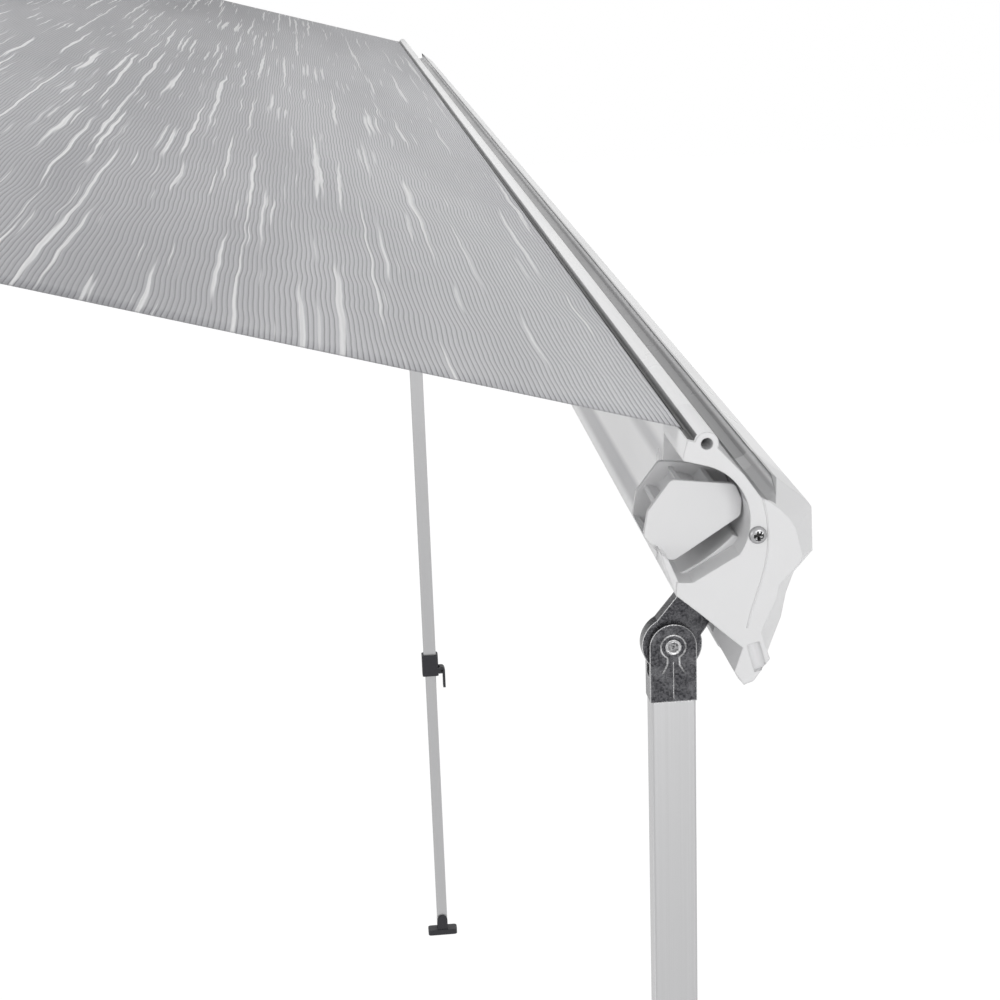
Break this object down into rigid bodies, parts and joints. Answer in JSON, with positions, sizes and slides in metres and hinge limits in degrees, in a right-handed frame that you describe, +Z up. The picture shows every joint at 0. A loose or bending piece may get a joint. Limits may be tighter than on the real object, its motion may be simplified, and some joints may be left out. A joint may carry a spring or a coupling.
{
  "type": "roll out awning",
  "caption": "Roll out wall awning: white cassette with a fabric roller, folding spring arms and a front rail with fold-down telescopic legs.",
  "frame": {"origin": "back face of the centre wall bracket, at the middle of its four screw holes", "axes": "+Z up, X along the width of the awning, the wall in the plane Y = 0 and the awning reaching out towards -Y"},
  "size_m": [3.0952, 1.9827, 2.4599],
  "materials": {
    "awning_cloth": "woven stripes, matt",
    "bare_aluminium": "drawn, satin",
    "cast_metal": "grey casting, satin",
    "dark_moulding": "black, matt",
    "grey_moulding": "light grey, matt",
    "plated_steel": "zinc plated",
    "white_extrusion": "white powder coat, satin",
    "white_moulding": "white, satin"
  },
  "bodies": {
    "cassette": {"wall_brackets": "plated_steel", "case_screws": "plated_steel", "cassette": "white_extrusion", "case_end_cap_left": "white_moulding", "case_end_cap_right": "white_moulding", "docking_guides": "grey_moulding", "shoulder_brackets": "white_extrusion", "shoulder_pins": "plated_steel", "roller_bush": "grey_moulding", "gearbox_housing": "dark_moulding"},
    "roller": {"roller_tube": "bare_aluminium", "roller_plug_left": "grey_moulding", "roller_plug_right": "grey_moulding", "fabric_winding": "awning_cloth", "worm_wheel": "plated_steel"},
    "crank": {"crank_shaft": "plated_steel"},
    "upper_arm_left": {"upper_arm_tube_left": "white_extrusion", "upper_arm_shoulder_end_left": "white_extrusion", "upper_arm_elbow_end_left": "white_extrusion", "arm_spring_left": "plated_steel", "elbow_pin_left": "plated_steel"},
    "forearm_left": {"forearm_tube_left": "white_extrusion", "forearm_elbow_end_left": "white_extrusion", "forearm_wrist_end_left": "white_extrusion"},
    "upper_arm_right": {"upper_arm_tube_right": "white_extrusion", "upper_arm_shoulder_end_right": "white_extrusion", "upper_arm_elbow_end_right": "white_extrusion", "arm_spring_right": "plated_steel", "elbow_pin_right": "plated_steel"},
    "forearm_right": {"forearm_tube_right": "white_extrusion", "forearm_elbow_end_right": "white_extrusion", "forearm_wrist_end_right": "white_extrusion"},
    "front_rail": {"front_rail": "white_extrusion", "rail_end_cap_left": "white_moulding", "rail_end_cap_right": "white_moulding", "docking_blocks": "grey_moulding", "rail_cap_screws": "plated_steel", "bead_rod": "dark_moulding", "wrist_brackets": "white_extrusion", "wrist_pins": "plated_steel", "leg_lugs": "cast_metal", "leg_hinge_pins": "plated_steel", "fabric_sheet": "awning_cloth"},
    "knuckle_left": {"leg_knuckle_left": "cast_metal", "leg_pin_left": "plated_steel"},
    "leg_left": {"leg_clevis_left": "cast_metal", "leg_outer_tube_left": "bare_aluminium", "leg_collar_left": "dark_moulding"},
    "lever_left": {"leg_lever_left": "dark_moulding"},
    "inner_leg_left": {"leg_inner_tube_left": "bare_aluminium"},
    "foot_left": {"leg_foot_left": "dark_moulding"},
    "knuckle_right": {"leg_knuckle_right": "cast_metal", "leg_pin_right": "plated_steel"},
    "leg_right": {"leg_clevis_right": "cast_metal", "leg_outer_tube_right": "bare_aluminium", "leg_collar_right": "dark_moulding"},
    "lever_right": {"leg_lever_right": "dark_moulding"},
    "inner_leg_right": {"leg_inner_tube_right": "bare_aluminium"},
    "foot_right": {"leg_foot_right": "dark_moulding"}
  },
  "joints": [
    {"name": "shoulder_left", "type": "hinge", "parent": "cassette", "child": "upper_arm_left", "pos_m": [-1.06, -0.082, -0.017], "axis": [0, -0.2656, 0.9641], "range_deg": [0, 77], "deforming": ["fabric_sheet"]},
    {"name": "elbow_left", "type": "hinge", "parent": "upper_arm_left", "child": "forearm_left", "pos_m": [-0.86144, -0.98259, -0.26506], "axis": [0, -0.2656, 0.9641], "range_deg": [-154, 0]},
    {"name": "shoulder_right", "type": "hinge", "parent": "cassette", "child": "upper_arm_right", "pos_m": [1.06, -0.082, -0.017], "axis": [0, -0.2656, 0.9641], "range_deg": [-77, 0]},
    {"name": "elbow_right", "type": "hinge", "parent": "upper_arm_right", "child": "forearm_right", "pos_m": [0.86144, -0.98259, -0.26506], "axis": [0, -0.2656, 0.9641], "range_deg": [0, 154]},
    {"name": "wrist_left", "type": "hinge", "parent": "forearm_left", "child": "front_rail", "pos_m": [-1.06, -1.88318, -0.51313], "axis": [0, -0.2656, 0.9641], "range_deg": [0, 77]},
    {"name": "roller_spin", "type": "hinge", "parent": "cassette", "child": "roller", "pos_m": [0, -0.041, 0.012], "axis": [-1, 0, 0], "range_deg": [0, 3530]},
    {"name": "crank_spin", "type": "hinge", "parent": "cassette", "child": "crank", "pos_m": [1.52235, -0.0663, 0.012], "axis": [0, 0, 1], "range_deg": [0, 49400]},
    {"name": "leg_fold_left", "type": "hinge", "parent": "front_rail", "child": "knuckle_left", "pos_m": [-1.43135, -1.9429, -0.57195], "axis": [0, 1, 0], "range_deg": [-90, 0]},
    {"name": "leg_swing_left", "type": "hinge", "parent": "knuckle_left", "child": "leg_left", "pos_m": [-1.43135, -1.9164, -0.61194], "axis": [-1, 0, 0], "range_deg": [-60, 45]},
    {"name": "leg_extend_left", "type": "slide", "parent": "leg_left", "child": "inner_leg_left", "axis": [0, 0, 1], "range_m": [0, 0.55]},
    {"name": "clamp_lever_left", "type": "hinge", "parent": "leg_left", "child": "lever_left", "pos_m": [-1.43135, -1.94015, -1.75694], "axis": [-1, 0, 0], "range_deg": [0, 100]},
    {"name": "foot_tilt_left", "type": "hinge", "parent": "inner_leg_left", "child": "foot_left", "pos_m": [-1.43135, -1.9164, -2.33794], "axis": [1, 0, 0], "range_deg": [-20, 20]},
    {"name": "leg_fold_right", "type": "hinge", "parent": "front_rail", "child": "knuckle_right", "pos_m": [1.43135, -1.9429, -0.57195], "axis": [0, -1, 0], "range_deg": [-90, 0]},
    {"name": "leg_swing_right", "type": "hinge", "parent": "knuckle_right", "child": "leg_right", "pos_m": [1.43135, -1.9164, -0.61194], "axis": [-1, 0, 0], "range_deg": [-60, 45]},
    {"name": "leg_extend_right", "type": "slide", "parent": "leg_right", "child": "inner_leg_right", "axis": [0, 0, 1], "range_m": [0, 0.55]},
    {"name": "clamp_lever_right", "type": "hinge", "parent": "leg_right", "child": "lever_right", "pos_m": [1.43135, -1.94015, -1.75694], "axis": [-1, 0, 0], "range_deg": [0, 100]},
    {"name": "foot_tilt_right", "type": "hinge", "parent": "inner_leg_right", "child": "foot_right", "pos_m": [1.43135, -1.9164, -2.33794], "axis": [1, 0, 0], "range_deg": [-20, 20]}
  ],
  "couplings": [
    {"joint": "elbow_left", "follows": "shoulder_left", "ratio": -2},
    {"joint": "wrist_left", "follows": "shoulder_left", "ratio": 1},
    {"joint": "shoulder_right", "follows": "shoulder_left", "ratio": -1},
    {"joint": "elbow_right", "follows": "shoulder_left", "ratio": 2},
    {"joint": "roller_spin", "follows": "shoulder_left", "ratio": 45.8},
    {"joint": "crank_spin", "follows": "shoulder_left", "ratio": 641.2}
  ]
}
